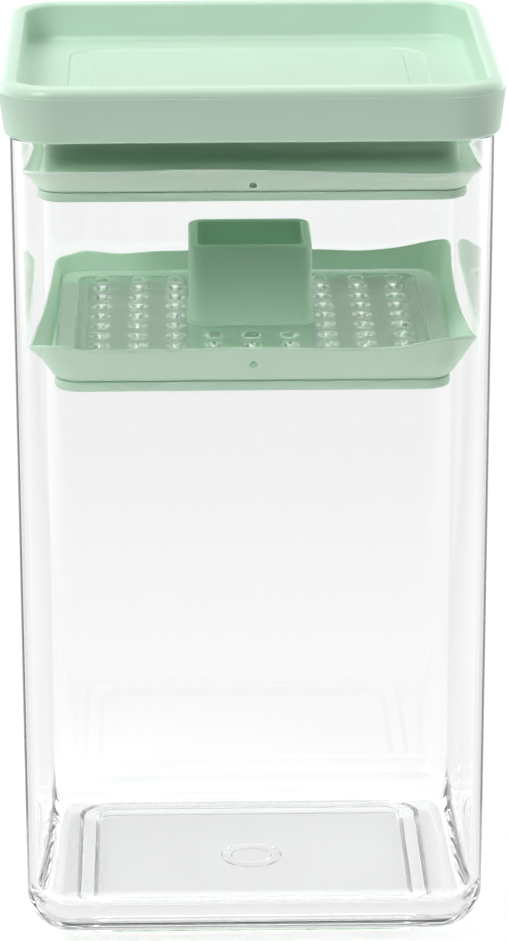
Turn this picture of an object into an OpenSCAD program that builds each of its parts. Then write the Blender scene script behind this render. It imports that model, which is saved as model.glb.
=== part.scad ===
// Rectangular storage jar with a sealed tray lid and a sliding press plate for pickling.
// Millimetres, +Z up. The origin is on the table, under the middle of the jar's foot.

/* [Jar] */
// Outside width of the jar at its rim
jar_w = 103.4; // [92:0.2:124]
// Outside depth of the jar at its rim
jar_d = 93.4; // [84:0.2:114]
// Height from the table to the rim
jar_h = 184.7; // [165:0.1:225]
// Thickness of the walls
jar_wall = 2; // [1.7:0.1:2.3]
// Outside radius of the upright corners, at the rim
jar_corner_r = 11; // [10.8:0.1:12.4]
// Slope of the walls, in degrees
jar_draft = 0.3; // [0.15:0.01:0.33]
// Outside rounding between the walls and the floor
jar_bottom_r = 9.5; // [8:0.1:9.8]
// Inside rounding between the walls and the floor
jar_inner_r = 7.6; // [6:0.1:7.7]
// Thickness of the floor
jar_floor = 4.4; // [3.6:0.1:5]
// Rounding along both edges of the rim
jar_rim_r = 0.7; // [0.4:0.05:0.8]

/* [Foot] */
// Height of the ring foot under the floor
foot_h = 2.6; // [2:0.1:3.4]
// How far the foot is set in from the jar's rim
foot_inset = 12; // [10.5:0.1:14]
// Width of the foot's rib
foot_rib = 4.2; // [3.4:0.1:5]
// Outside radius of the foot's corners
foot_corner_r = 8; // [7:0.1:9.5]
// Radius of the round gate mark under the floor
gate_r = 6.9; // [5.5:0.1:8]
// Height of the gate mark's raised ring
gate_h = 0.45; // [0.2:0.05:0.8]

/* [Lid] */
// How far the lid's widest line stands out from the jar's rim
lid_overhang = 2.3; // [1.8:0.1:3]
// How far the skirt draws in from the widest line to its bottom edge
lid_taper = 1.2; // [0.6:0.1:1.6]
// Height of the lid above the jar's rim
lid_h = 12.3; // [10.5:0.1:15]
// Outside radius of the lid's corners
lid_corner_r = 12; // [11.4:0.1:13.6]
// Width of the rim round the tray
lid_rim_w = 3.9; // [3.7:0.1:4.6]
// Depth of the tray below the rim
tray_depth = 8.7; // [7.8:0.1:9.4]
// Thickness of the tray's floor
tray_floor = 2.2; // [1.8:0.1:2.4]
// Depth of the groove that takes the foot of a second jar
stack_groove = 0.6; // [0.3:0.05:0.9]
// Play of that foot in the groove
stack_play = 0.4; // [0.2:0.05:0.7]

/* [Lid seal] */
// Gap between the lid's neck and the inside of the jar
neck_gap = 5.2; // [4.6:0.1:6]
// Thickness of the neck
neck_wall = 2.2; // [1.8:0.1:2.6]
// Length of the neck below the jar's rim
neck_h = 12; // [10.5:0.1:14]
// Outside radius of the neck's corners
neck_corner_r = 6; // [5:0.1:7]
// Width of the base plate's flange outside the neck
lid_flange = 1.5; // [1.2:0.1:2]
// Thickness of the lid's base plate
lid_base_t = 2; // [1.6:0.1:2.6]
// Height of the snap wall inside the neck
snap_h = 5; // [3:0.1:7]
// Thickness of the snap wall
snap_wall = 1.5; // [1.2:0.1:2]
// Height of the lid seal's lip
lid_lip_h = 5.6; // [4.6:0.1:6.6]
// Gap between the lid seal's lip and the jar
lid_lip_gap = 0.35; // [0.25:0.05:0.6]

/* [Press] */
// Free height between the grip and the lid, with the press where it is shown
headroom = 16.7; // [14:0.1:60]
// Gap between the press's base plate and the jar's wall, at the floor
press_margin = 5.75; // [5.2:0.05:6.4]
// Radius of the press's corners
press_corner_r = 6; // [5.4:0.1:7]
// Thickness of the press's base plate
press_base_t = 2.3; // [1.8:0.1:3]
// Height of the seal's bead between base plate and clear plate
bead_h = 4; // [3.4:0.1:4.8]
// Thickness of the clear plate
plate_t = 1.8; // [1.4:0.1:2.4]
// How far the clear plate's locating wall is set in from its edge
wall_inset = 4.4; // [3.8:0.1:5]
// Thickness of that locating wall
wall_t = 2.4; // [2:0.1:2.7]
// Distance between holes
hole_pitch = 8.3; // [7.4:0.05:9]
// Diameter of the holes in the clear plate
hole_d = 3.4; // [2.6:0.1:3.6]
// How much wider the holes in the base plate are
hole_relief = 0.6; // [0:0.1:1]

/* [Press seal] */
// Height of the lip above the base plate, along its sides
lip_h = 8.8; // [7.6:0.1:10]
// Thickness of the lip at its root
lip_root = 1.4; // [1:0.1:1.8]
// Thickness of the lip at its edge
lip_edge = 0.8; // [0.6:0.05:1.1]
// Clearance of the lip to the jar's wall at the floor, where the jar is narrowest
lip_clear = 0.2; // [0.1:0.05:0.3]
// Radius of the lip's corners
lip_corner_r = 8.5; // [7.9:0.1:9.4]
// How far the lip draws in at the middle of the jar's left and right walls
lip_draw_side = 1.5; // [0:0.1:1.8]
// How far the lip draws in at the middle of the front and back walls
lip_draw_front = 0.7; // [0:0.1:1.2]
// Height of the lip's raised ear at the right front corner
ear_right_front = 2.2; // [0:0.1:2.6]
// Height of the ear at the right back corner
ear_right_back = 2; // [0:0.1:2.6]
// Height of the ear at the left back corner
ear_left_back = 0.9; // [0:0.1:2.6]
// Height of the ear at the left front corner
ear_left_front = 1.1; // [0:0.1:2.6]
// Diameter of the vent hole at the front of each seal
vent_d = 1.7; // [1:0.1:2.2]

/* [Grip] */
// Width of the grip
grip_w = 27.2; // [24:0.1:28]
// Depth of the grip
grip_d = 26; // [23:0.1:27.6]
// Height of the grip above the clear plate
grip_h = 18; // [16:0.1:24]
// Thickness of the grip's walls
grip_wall = 2; // [1.6:0.1:2.6]
// Outside radius of the grip's corners
grip_corner_r = 3.5; // [3.2:0.1:4.4]
// How far the grip widens into its foot
grip_foot = 0.6; // [0.4:0.1:1]
// Thickness of the foot's edge
grip_foot_t = 0.6; // [0.4:0.1:1]
// Thickness of the floor of the grip's well
well_floor = 1.6; // [1.2:0.1:2.2]
// How far the base plate's spigot stands up inside the grip
spigot_up = 2.2; // [1.6:0.1:4]
// Thickness of the spigot's walls
spigot_wall = 1.8; // [1.4:0.1:2.4]
// Play between pieces that fit into each other
fit = 0.2; // [0.15:0.05:0.3]

/* [Hidden] */
$fn = 96;
// How far cutting solids run past what they cut
overcut = 1;

leaf_green = [0.70, 0.84, 0.73];
seal_green = [0.76, 0.88, 0.78];
clear = [0.93, 0.97, 0.96, 0.35];

// Jar
slope = tan(jar_draft);
floor_z = foot_h + jar_floor;
jar_half = [jar_w, jar_d] / 2;
function all_round(v) = [v, v];
function jar_lean(z) = slope * (jar_h - z);
function jar_inside(z) = jar_half - all_round(jar_wall + jar_lean(z));
foot_half = jar_half - all_round(foot_inset);
foot_in_r = foot_corner_r - foot_rib;
foot_edge_r = foot_rib / 4;
gate_well_r = gate_r * 2 / 3;

// Lid
lid_half = jar_half + all_round(lid_overhang);
lid_top_z = jar_h + lid_h;
tray_z = lid_top_z - tray_depth;
tray_under_z = tray_z - tray_floor;
widest_drop = 2.5;
widest_z = lid_top_z - widest_drop;
widest_r = 3;
rim_lean = 0.3;
rim_outer_r = 1.8;
rim_inner_r = 1.4;
skirt_edge_r = 1.4;
tray_fillet = 1.5;
ledge_lap = 0.6;
ledge_w = lid_overhang + jar_wall + ledge_lap;
groove_half = foot_half + all_round(stack_play);
groove_r = foot_corner_r + stack_play;
groove_w = foot_rib + 2 * stack_play;
neck_half = jar_inside(jar_h) - all_round(neck_gap);
neck_z = jar_h - neck_h;
neck_in_r = neck_corner_r - neck_wall;
lid_base_half = neck_half + all_round(lid_flange);
lid_base_r = neck_corner_r;
lid_base_z = neck_z - lid_base_t;
snap_half = neck_half - all_round(neck_wall + fit);
snap_r = neck_in_r - fit;
snap_edge_r = 0.4;
plate_edge_r = 0.7;

// Press, from the lid downwards
grip_top_z = lid_base_z - headroom;
plate_z = grip_top_z - grip_h;
bead_top_z = plate_z - plate_t;
bead_z = bead_top_z - bead_h;
press_z = bead_z - press_base_t;
press_half = jar_inside(floor_z) - all_round(press_margin);
wall_half = press_half - all_round(wall_inset);
wall_in_half = wall_half - all_round(wall_t);
wall_in_r = 0.4;
wall_corner_r = wall_in_r + wall_t;
grip_half = [grip_w, grip_d] / 2;
grip_in_half = grip_half - all_round(grip_wall);
grip_in_r = grip_corner_r - grip_wall;
grip_rim_out_r = 0.8;
grip_rim_in_r = 0.6;
grip_foot_half = grip_half + all_round(grip_foot);
grip_fillet = 0.9 * grip_foot;
spigot_half = grip_in_half - all_round(fit);
spigot_r = grip_in_r - fit / 2;
spigot_z = plate_z + spigot_up;
opening_half = spigot_half + all_round(fit);
well_under_z = spigot_z + fit;
well_z = well_under_z + well_floor;

// Holes in rows and columns, left out round the grip's foot
function row(half) =
    let (n = floor((2 * half - hole_d) / hole_pitch))
    [for (i = [0:n]) (i - n / 2) * hole_pitch];
function under_grip(x, y) =
    abs(x) < grip_foot_half.x + hole_d / 2 && abs(y) < grip_foot_half.y + hole_d / 2;
holes = [for (x = row(wall_in_half.x), y = row(wall_in_half.y)) if (!under_grip(x, y)) [x, y]];

// Seals
lip_half = jar_inside(floor_z) - all_round(lip_clear);
lid_lip_z = neck_z + lid_lip_h;
lid_lip_half = jar_inside(lid_lip_z) - all_round(lid_lip_gap);
lid_lip_r = jar_corner_r - jar_wall - lid_lip_gap;
lid_lip_draw = 0.3;
lid_bead_h = 2.2;
lid_ears = [0.9, 0.5, 0.5, 0.9];
press_ears = [ear_right_back, ear_left_back, ear_left_front, ear_right_front];
ear_reach = 5;
side_steps = 14;
arc_steps = 7;
lip_steps = 5;

// Profiles: points are [x, z, rounding], anticlockwise, and every rounding is a true arc
function unit(v) = v / norm(v);
function corner(p, i) = let (n = len(p), q = p[(i + n) % n]) [q.x, q.y];
function arm(p, i, side) = unit(corner(p, i + side) - corner(p, i));
function half_angle(p, i) = acos(arm(p, i, -1) * arm(p, i, 1)) / 2;
function tangent(p, i, side) = corner(p, i) + arm(p, i, side) * p[i].z / tan(half_angle(p, i));
function arc_centre(p, i) =
    corner(p, i) + unit(arm(p, i, -1) + arm(p, i, 1)) * p[i].z / sin(half_angle(p, i));
function convex(p, i) = cross(corner(p, i) - corner(p, i - 1), corner(p, i + 1) - corner(p, i)) > 0;
function trimmed(p, i) = p[i].z > 0 ? [tangent(p, i, -1), tangent(p, i, 1)] : [corner(p, i)];

module arc_piece(p, i) {
    intersection() {
        translate(arc_centre(p, i)) circle(p[i].z);
        polygon([tangent(p, i, -1), corner(p, i), tangent(p, i, 1)]);
    }
}

module profile(p) {
    difference() {
        union() {
            polygon([for (i = [0:len(p) - 1]) each trimmed(p, i)]);
            for (i = [0:len(p) - 1]) if (p[i].z > 0 && convex(p, i)) arc_piece(p, i);
        }
        for (i = [0:len(p) - 1]) if (p[i].z > 0 && !convex(p, i)) arc_piece(p, i);
    }
}

// Carries a profile round a rounded rectangle. Its x is the distance out from the corners' axes.
module round_plan(half, corner_r) {
    axis = half - all_round(corner_r);
    for (q = [0:3]) {
        a = q % 2 == 0 ? axis : [axis.y, axis.x];
        rotate(90 * q) translate(a) {
            rotate_extrude(angle = 90) children();
            rotate([90, 0, 0]) linear_extrude(2 * a.y) children();
        }
    }
}

// The middle of a solid made by round_plan: a cross that runs past the corners' axes by lap
module plan_core(half, corner_r, z0, z1, lap) {
    axis = half - all_round(corner_r);
    for (grow = [[lap, 0], [0, lap]])
        slab(z0, z1) square(2 * (axis + grow), center = true);
}

module slab(z0, z1) {
    translate([0, 0, z0]) linear_extrude(z1 - z0) children();
}

// A flat plate with rounded corners, and rounded lower and upper edges where set
module plate(half, corner_r, z0, z1, low_r = 0, high_r = 0) {
    plan_core(half, corner_r, z0, z1, corner_r / 4);
    round_plan(half, corner_r)
        profile([[0, z0, 0], [corner_r, z0, low_r], [corner_r, z1, high_r], [0, z1, 0]]);
}

// A straight-sided rectangular ring with rounded corners
module ring(half, corner_r, wall, z0, z1, low_r = 0, high_r = 0) {
    in_r = corner_r - wall;
    round_plan(half, corner_r)
        profile([[in_r, z0, low_r], [corner_r, z0, low_r], [corner_r, z1, high_r], [in_r, z1, high_r]]);
}

module drill(d, z0, z1) {
    for (p = holes) translate([p.x, p.y, z0 - overcut]) cylinder(d = d, h = z1 - z0 + 2 * overcut);
}

// Points round a rounded rectangle, side by side and arc by arc, each with how much it draws in
// (nothing at a side's ends, most at its middle), its share of the ear, and its corner's number
function smooth(t) = let (u = min(1, max(0, t))) u * u * (3 - 2 * u);
function turned(p, q) = q == 0 ? p : turned([-p.y, p.x], q - 1);
function side_point(a, r, q, s) = [
    turned([a.x + r, a.y * s], q),
    turned([s * s - 1, 0], q),
    smooth(1 - a.y * (1 - abs(s)) / ear_reach),
    s < 0 ? (q + 3) % 4 : q];
function arc_point(a, r, q, t) = [turned(a + r * [cos(t), sin(t)], q), [0, 0], 1, q];
function quarter(a, r, q) = concat(
    [for (i = [0:side_steps - 1]) side_point(a, r, q, sin(180 * i / side_steps - 90))],
    [for (i = [0:arc_steps - 1]) arc_point(a, r, q, 90 * i / arc_steps)]);
function outline(half, r) =
    let (a = half - all_round(r))
    [for (q = [0:3]) each quarter(q % 2 == 0 ? a : [a.y, a.x], r, q)];

// A closed ring skinned over sections: rows of points, one row for each corner of the section
module skin(rows) {
    m = len(rows);
    n = len(rows[0]);
    faces = [for (j = [0:m - 1], i = [0:n - 1])
        let (j2 = (j + 1) % m, i2 = (i + 1) % n)
        each [[j * n + i, j2 * n + i, j2 * n + i2], [j * n + i, j2 * n + i2, j * n + i2]]];
    polyhedron(points = [for (r = rows) each r], faces = faces);
}

// One row of a seal's skin: s of the way from the root outline to the lip outline, set in by its
// thickness. The lip draws in along the sides in step with s squared, and its share of the ears is up.
function lip_row(root, lip, thick, s, z, up, ears, draw) =
    let (from = outline(root[0] - all_round(thick), root[1] - thick),
         to = outline(lip[0] - all_round(thick), lip[1] - thick))
    [for (i = [0:len(from) - 1])
        let (xy = from[i][0] * (1 - s) + to[i][0] * s, pull = s * s * to[i][1])
        [xy.x + pull.x * draw.x, xy.y + pull.y * draw.y, z + up * to[i][2] * ears[to[i][3]]]];
function thick(s) = lip_root + (lip_edge - lip_root) * s;
function flat_row(plan, z) = [for (o = outline(plan[0], plan[1])) [o[0].x, o[0].y, z]];

// A flexible seal: a flat bead and a thin lip that flares up and out from its root. The lip's ears
// start at the top of the bead. The plans bore, root and lip are each [half size, corner radius].
module seal(bore, root, lip, z, bead, lip_rise, ears, draw) {
    foot = bead / lip_rise;
    outer = [for (i = [1:lip_steps]) i / lip_steps];
    inner = [for (i = [0:lip_steps - 1]) 1 - (1 - foot) * i / (lip_steps - 1)];
    up = function (s) smooth((s - foot) / (1 - foot));
    skin(concat(
        [flat_row(bore, z), flat_row(root, z)],
        [for (s = outer) lip_row(root, lip, 0, s, z + lip_rise * s, up(s), ears, draw)],
        [for (s = inner) lip_row(root, lip, thick(s), s, z + lip_rise * s, up(s), ears, draw)],
        [flat_row(bore, z + bead)]));
}

module vent(y, z) {
    translate([0, -y, z]) rotate([90, 0, 0]) cylinder(d = vent_d, h = press_margin + neck_gap);
}

module container() {
    wall_r = jar_corner_r - jar_lean(foot_h);
    well_r = jar_corner_r - jar_wall - jar_lean(floor_z);
    color(clear) {
        round_plan(jar_half, jar_corner_r) profile([
            [0, foot_h, 0],
            [wall_r, foot_h, jar_bottom_r],
            [jar_corner_r, jar_h, jar_rim_r],
            [jar_corner_r - jar_wall, jar_h, jar_rim_r],
            [well_r, floor_z, jar_inner_r],
            [0, floor_z, 0]]);
        plan_core(jar_half, jar_corner_r, foot_h, floor_z, (wall_r - jar_bottom_r) / 2);
        round_plan(foot_half, foot_corner_r) profile([
            [foot_in_r, 0, foot_edge_r],
            [foot_corner_r, 0, foot_edge_r],
            [foot_corner_r, foot_h + jar_floor / 2, 0],
            [foot_in_r, foot_h + jar_floor / 2, 0]]);
        translate([0, 0, foot_h - gate_h]) difference() {
            cylinder(r = gate_r, h = gate_h + jar_floor / 2);
            translate([0, 0, -overcut]) cylinder(r = gate_well_r, h = gate_h + overcut);
        }
    }
}

module lid_shell() {
    out_r = lid_corner_r;
    tray_r = out_r - lid_rim_w;
    ledge_r = out_r - ledge_w;
    color(leaf_green) {
        difference() {
            union() {
                round_plan(lid_half, out_r) profile([
                    [0, tray_under_z, 0],
                    [ledge_r, tray_under_z, 0],
                    [ledge_r, jar_h, 0],
                    [out_r - lid_taper, jar_h, skirt_edge_r],
                    [out_r, widest_z, widest_r],
                    [out_r - rim_lean, lid_top_z, rim_outer_r],
                    [tray_r, lid_top_z, rim_inner_r],
                    [tray_r - rim_lean, tray_z, tray_fillet],
                    [0, tray_z, 0]]);
                plan_core(lid_half, out_r, tray_under_z, tray_z, ledge_r / 2);
            }
            ring(groove_half, groove_r, groove_w, tray_z - stack_groove, tray_z + overcut);
        }
        ring(neck_half, neck_corner_r, neck_wall, neck_z, tray_under_z + tray_floor / 2);
    }
}

module lid_base() {
    color(leaf_green) {
        plate(lid_base_half, lid_base_r, lid_base_z, neck_z, plate_edge_r, 0);
        ring(snap_half, snap_r, snap_wall, neck_z - lid_base_t / 2, neck_z + snap_h, 0, snap_edge_r);
    }
}

module lid_seal() {
    color(seal_green) difference() {
        seal([neck_half + all_round(fit), neck_corner_r + fit], [lid_base_half, lid_base_r],
             [lid_lip_half, lid_lip_r], neck_z, lid_bead_h, lid_lip_h, lid_ears,
             all_round(lid_lip_draw));
        vent(lid_base_half.y - lid_flange / 3, neck_z + lid_lip_h / 4);
    }
}

module press_base() {
    color(leaf_green) difference() {
        union() {
            plate(press_half, press_corner_r, press_z, bead_z, plate_edge_r, 0);
            difference() {
                plate(spigot_half, spigot_r, bead_z - press_base_t / 2, spigot_z);
                plate(spigot_half - all_round(spigot_wall), spigot_r / 2, bead_z, spigot_z + overcut);
            }
        }
        drill(hole_d + hole_relief, press_z, bead_z);
    }
}

module press_seal() {
    color(seal_green) difference() {
        seal([wall_half + all_round(fit), wall_corner_r + fit], [press_half, press_corner_r],
             [lip_half, lip_corner_r], bead_z, bead_h, lip_h, press_ears,
             [lip_draw_side, lip_draw_front]);
        vent(press_half.y, bead_z + lip_h / 2);
    }
}

module press_plate() {
    color(clear) difference() {
        union() {
            plate(press_half, press_corner_r, bead_top_z, plate_z, 0, plate_edge_r);
            ring(wall_half, wall_corner_r, wall_t, bead_z, bead_top_z + plate_t / 2);
        }
        plate(opening_half, spigot_r + fit / 2, bead_top_z - overcut, plate_z + overcut);
        drill(hole_d, bead_top_z, plate_z);
    }
}

module press_grip() {
    foot_r = grip_corner_r + grip_foot;
    color(leaf_green) {
        round_plan(grip_half, grip_corner_r) profile([
            [grip_in_r, plate_z, 0],
            [foot_r, plate_z, 0],
            [foot_r, plate_z + grip_foot_t, 0],
            [grip_corner_r, plate_z + grip_foot_t, grip_fillet],
            [grip_corner_r, grip_top_z, grip_rim_out_r],
            [grip_in_r, grip_top_z, grip_rim_in_r]]);
        plate(grip_in_half + all_round(grip_wall / 2), grip_in_r + grip_wall / 2, well_under_z, well_z);
    }
}

container();
lid_shell();
lid_seal();
lid_base();
press_base();
press_seal();
press_plate();
press_grip();
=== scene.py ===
"""Looks of a rectangular storage jar with a sealed tray lid and a press plate that slides inside it.

Every piece is a profile carried round a rounded rectangle, in metres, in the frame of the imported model.
"""

import math

import bpy
import numpy as np
from mathutils import Matrix, Vector


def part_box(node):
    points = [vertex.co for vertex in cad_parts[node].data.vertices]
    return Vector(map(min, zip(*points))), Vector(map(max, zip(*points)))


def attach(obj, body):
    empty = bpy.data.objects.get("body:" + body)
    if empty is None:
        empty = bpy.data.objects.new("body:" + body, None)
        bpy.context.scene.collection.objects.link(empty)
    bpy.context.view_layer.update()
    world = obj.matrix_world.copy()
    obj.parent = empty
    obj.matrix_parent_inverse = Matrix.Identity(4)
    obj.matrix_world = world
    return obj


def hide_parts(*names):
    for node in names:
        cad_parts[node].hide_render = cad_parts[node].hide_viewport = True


bl_info = {
    "name": "Pickle press jar",
    "version": (1, 0, 0),
    "blender": (4, 5, 0),
    "location": "View3D > Sidebar > Jar",
    "description": "Builds a clear storage jar with a sealed lid and a sliding press plate",
    "category": "Add Mesh",
}

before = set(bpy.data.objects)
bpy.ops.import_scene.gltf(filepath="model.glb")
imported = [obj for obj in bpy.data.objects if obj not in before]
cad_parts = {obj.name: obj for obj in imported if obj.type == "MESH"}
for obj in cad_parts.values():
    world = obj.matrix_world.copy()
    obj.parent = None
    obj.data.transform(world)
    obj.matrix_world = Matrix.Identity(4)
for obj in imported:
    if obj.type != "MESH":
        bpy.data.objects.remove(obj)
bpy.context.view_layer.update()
MM = 0.001

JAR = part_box("container")
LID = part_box("lid_shell")
LID_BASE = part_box("lid_base")
LID_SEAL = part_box("lid_seal")
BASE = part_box("press_base")
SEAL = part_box("press_seal")
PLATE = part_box("press_plate")
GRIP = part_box("press_grip")


# Settings

def number(name, description, value, **more):
    """A number, with its unit, subtype or limits where they fit."""
    return bpy.props.FloatProperty(name=name, description=description, default=value, **more)


def length(name, description, size):
    """A length whose default is given in millimetres."""
    return number(name, description, size * MM, unit="LENGTH", precision=5)


def angle(name, description, degrees):
    """An angle whose default is given in degrees."""
    return number(name, description, math.radians(degrees), subtype="ANGLE")


def power(name, description, watts):
    """The power of a lamp."""
    return number(name, description, watts, unit="POWER", min=0)


def tint(name, description, value):
    """A colour in linear light."""
    return bpy.props.FloatVectorProperty(
        name=name, description=description, default=value, size=3, subtype="COLOR", min=0, max=1)


class JarSizes(bpy.types.PropertyGroup):
    """Sizes of the clear jar."""
    wall: length("Wall", "Thickness of the walls", 2)
    corner_r: length("Corner", "Outside radius of the upright corners at the rim", 11)
    lean: length("Lean", "How far the walls draw in from the rim to the foot", 0.954)
    bottom_r: length("Bottom", "Outside rounding between walls and floor", 9.5)
    inner_r: length("Inside bottom", "Inside rounding between walls and floor", 7.6)
    floor: length("Floor", "Thickness of the floor", 4.4)
    rim_r: length("Rim", "Rounding along both edges of the rim", 0.7)
    foot_h: length("Foot height", "Height of the ring foot under the floor", 2.6)
    foot_inset: length("Foot inset", "How far the foot is set in from the rim", 12)
    foot_rib: length("Foot rib", "Width of the foot's rib", 4.2)
    foot_corner_r: length("Foot corner", "Outside radius of the foot's corners", 8)
    foot_edge_r: length("Foot edge", "Rounding along the foot's lower edges", 1.05)
    foot_fillet: length("Foot fillet", "Rounding where the foot meets the floor", 0.5)
    gate_r: length("Gate", "Radius of the round gate mark under the floor", 6.9)
    gate_well_r: length("Gate well", "Radius of the hollow in the gate mark", 4.6)
    gate_h: length("Gate height", "Height of the gate mark's raised ring", 0.45)


class LidSizes(bpy.types.PropertyGroup):
    """Sizes of the lid, its base plate and its seal."""
    corner_r: length("Corner", "Outside radius of the lid's corners", 12)
    taper: length("Taper", "How far the skirt draws in below its widest line", 1.2)
    widest: length("Widest line", "Depth of the widest line below the rim", 2.5)
    parting: length("Parting line", "Height and width of the moulding line there", 0.07)
    rim_w: length("Rim", "Width of the rim round the tray", 3.9)
    tray_depth: length("Tray", "Depth of the tray", 8.7)
    tray_floor: length("Tray floor", "Thickness of the tray's floor", 2.2)
    lean: length("Lean", "How far the rim's sides lean", 0.3)
    ledge_lap: length("Ledge", "How far the ledge reaches past the jar's wall", 0.6)
    groove: length("Groove", "Depth of the stacking groove", 0.4)
    groove_w: length("Groove width", "Width of the stacking groove", 5)
    groove_half: bpy.props.FloatVectorProperty(
        name="Groove size", description="Half width and half depth of the stacking groove", size=2,
        default=(40.1 * MM, 35.1 * MM), unit="LENGTH", precision=5)
    groove_r: length("Groove corner", "Outside radius of the groove's corners", 8.4)
    neck_inset: length("Neck inset", "How far the neck is set in from the base plate's edge", 1.5)
    neck_wall: length("Neck wall", "Thickness of the neck", 2.2)
    neck_r: length("Neck corner", "Outside radius of the neck's corners", 6)
    base_t: length("Base plate", "Thickness of the base plate", 2)
    snap_wall: length("Snap wall", "Thickness of the snap wall inside the neck", 1.5)
    lip_h: length("Lip", "Height of the seal's lip", 5.6)
    lip_r: length("Lip corner", "Radius of the lip's corners", 8.65)
    bead: length("Bead", "Height of the seal's bead", 2.2)


class PressSizes(bpy.types.PropertyGroup):
    """Sizes of the press."""
    corner_r: length("Corner", "Radius of the plates' corners", 6)
    base_t: length("Base plate", "Thickness of the base plate", 2.3)
    plate_t: length("Clear plate", "Thickness of the clear plate", 1.8)
    wall_inset: length("Wall inset", "How far the locating wall is set in from the plate's edge", 4.4)
    wall_t: length("Wall", "Thickness of the locating wall", 2.4)
    wall_r: length("Wall corner", "Outside radius of the locating wall's corners", 2.8)
    pitch: length("Hole pitch", "Distance between holes", 8.3)
    hole_d: length("Hole", "Diameter of the holes in the clear plate", 3.4)
    relief: length("Hole relief", "How much wider the holes in the base plate are", 0.6)
    lip_h: length("Lip", "Height of the seal's lip along its sides", 8.8)
    lip_r: length("Lip corner", "Radius of the lip's corners", 8.5)
    lip_root: length("Lip root", "Thickness of the lip at its root", 1.4)
    lip_edge: length("Lip edge", "Thickness of the lip at its edge", 0.85)
    bead: length("Bead", "Height of the seal's bead", 4)
    vent_d: length("Vent", "Diameter of the vent in each seal", 1.7)
    grip_foot: length("Grip foot", "How far the grip widens into its foot", 0.6)
    grip_foot_t: length("Foot edge", "Thickness of the foot's edge", 0.6)
    grip_wall: length("Grip wall", "Thickness of the grip's walls", 2)
    grip_r: length("Grip corner", "Outside radius of the grip's corners", 3.5)
    well: length("Well", "Height of the well's floor above the clear plate", 4)
    well_floor: length("Well floor", "Thickness of the well's floor", 1.6)
    spigot_wall: length("Spigot wall", "Thickness of the spigot's walls", 1.8)
    fit: length("Fit", "Play between pieces that fit into each other", 0.2)
    seat: length("Seat", "Hairline between pieces that lie on each other", 0.04)


class Finishes(bpy.types.PropertyGroup):
    """Colours of the finishes."""
    green: tint("Green plastic", "Satin moulded plastic of the tray lid", (0.535, 0.715, 0.58))
    silicone: tint("Green silicone", "Soft matt silicone of the lid's seal", (0.75, 0.92, 0.755))
    clear: tint("Clear plastic", "Tint of the clear jar", (0.995, 0.997, 0.996))
    plate: tint("Clear plate", "Tint of the clear plate", (0.95, 0.975, 0.955))
    floor: tint("Floor", "The pale floor", (0.5, 0.5, 0.5))


class StudioSettings(bpy.types.PropertyGroup):
    """The camera and the lights."""
    distance: length("Distance", "From the camera to the middle of the view", 1047.9)
    elevation: angle("Elevation", "How far the camera looks down", 16.78)
    azimuth: angle("Azimuth", "How far the camera stands to the right, or below zero to the left", -1.102)
    roll: angle("Roll", "How far the camera is rolled", -0.16)
    aim_x: length("Aim across", "Sideways place of the middle of the view", 0.85)
    aim_z: length("Aim height", "Height of the middle of the view", 98.334)
    focal: number("Focal length", "In pixels of the picture", 4636.6, min=1, subtype="PIXEL")
    tall: number("Picture height", "In pixels", 941, min=1, subtype="PIXEL")
    key: power("Key light", "Power of the overhead softbox", 1.4)
    fill: power("Fill light", "Power of the softbox on the left of the camera", 21.5)
    rim: power("Rim light", "Power of the narrow softbox behind and above the jar", 1.1)
    left: power("Left light", "Power of the softbox on the jar's left", 4)
    right: power("Right light", "Power of the softbox on the jar's right", 7)
    table: number("Table light", "Strength of the light that the pale floor gives off", 0.5, min=0)
    card: number("Card light", "Strength of the light from the floor in front of the jar", 1.1, min=0)
    ambient: number("Ambient", "Strength of the world's light from above", 0.35, min=0)


class JarScene(bpy.types.PropertyGroup):
    """All settings of the jar."""
    jar: bpy.props.PointerProperty(type=JarSizes)
    lid: bpy.props.PointerProperty(type=LidSizes)
    press: bpy.props.PointerProperty(type=PressSizes)
    finish: bpy.props.PointerProperty(type=Finishes)
    studio: bpy.props.PointerProperty(type=StudioSettings)


# Plans and profiles

CORNER_SHARE = 0.2  # part of a side's parameter at each end that turns half a corner
CORE = 0.3 * MM  # how near a flat runs to its corners' axes before its middle is closed
WELD = 1e-4 * MM  # grid on which points that coincide are merged


def plan(along_x, along_y):
    """Table of a rounded rectangle's outline, anticlockwise from its lower left corner.

    A side's parameter t runs from -1 to 1. In its middle the place moves along the straight side, and in
    the last CORNER_SHARE at each end the direction turns through half a corner. The table holds each
    point's place on the square from -1 to 1 and its direction out of the outline.
    """
    def side(t, quarter):
        straight = 1 - CORNER_SHARE
        place = np.stack([np.clip(t / straight, -1, 1), np.full_like(t, -1)], -1)
        turn = np.sign(t) * np.clip(np.abs(t) - straight, 0, None) / CORNER_SHARE * math.pi / 4
        out = np.stack([np.sin(turn), -np.cos(turn)], -1)
        c, s = round(math.cos(quarter * math.pi / 2)), round(math.sin(quarter * math.pi / 2))
        spin = np.array([[c, s], [-s, c]])
        return place @ spin, out @ spin

    sides = [side(t, q) for q, t in enumerate((along_x, along_y, along_x, along_y))]
    return tuple(np.concatenate(parts) for parts in zip(*sides))


def side_steps(arc, straight):
    """A side's parameters: arc steps in each half corner, and the given places on the straight side."""
    edge = 1 - CORNER_SHARE
    return np.concatenate([
        np.linspace(-1, -edge, arc, endpoint=False),
        edge * np.asarray(straight),
        np.linspace(edge, 1, arc, endpoint=False)])


SPARSE = side_steps(10, [-1, -0.985, -0.5, 0, 0.5, 0.985])
DENSE = side_steps(12, np.sin(np.linspace(-math.pi / 2, math.pi / 2, 56, endpoint=False)))
SMOOTH_PLAN = plan(SPARSE, SPARSE)
WAVY_PLAN = plan(DENSE, DENSE)
WAVY_TURN = np.concatenate([side + (DENSE + 1) / 2 for side in range(4)])


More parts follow.
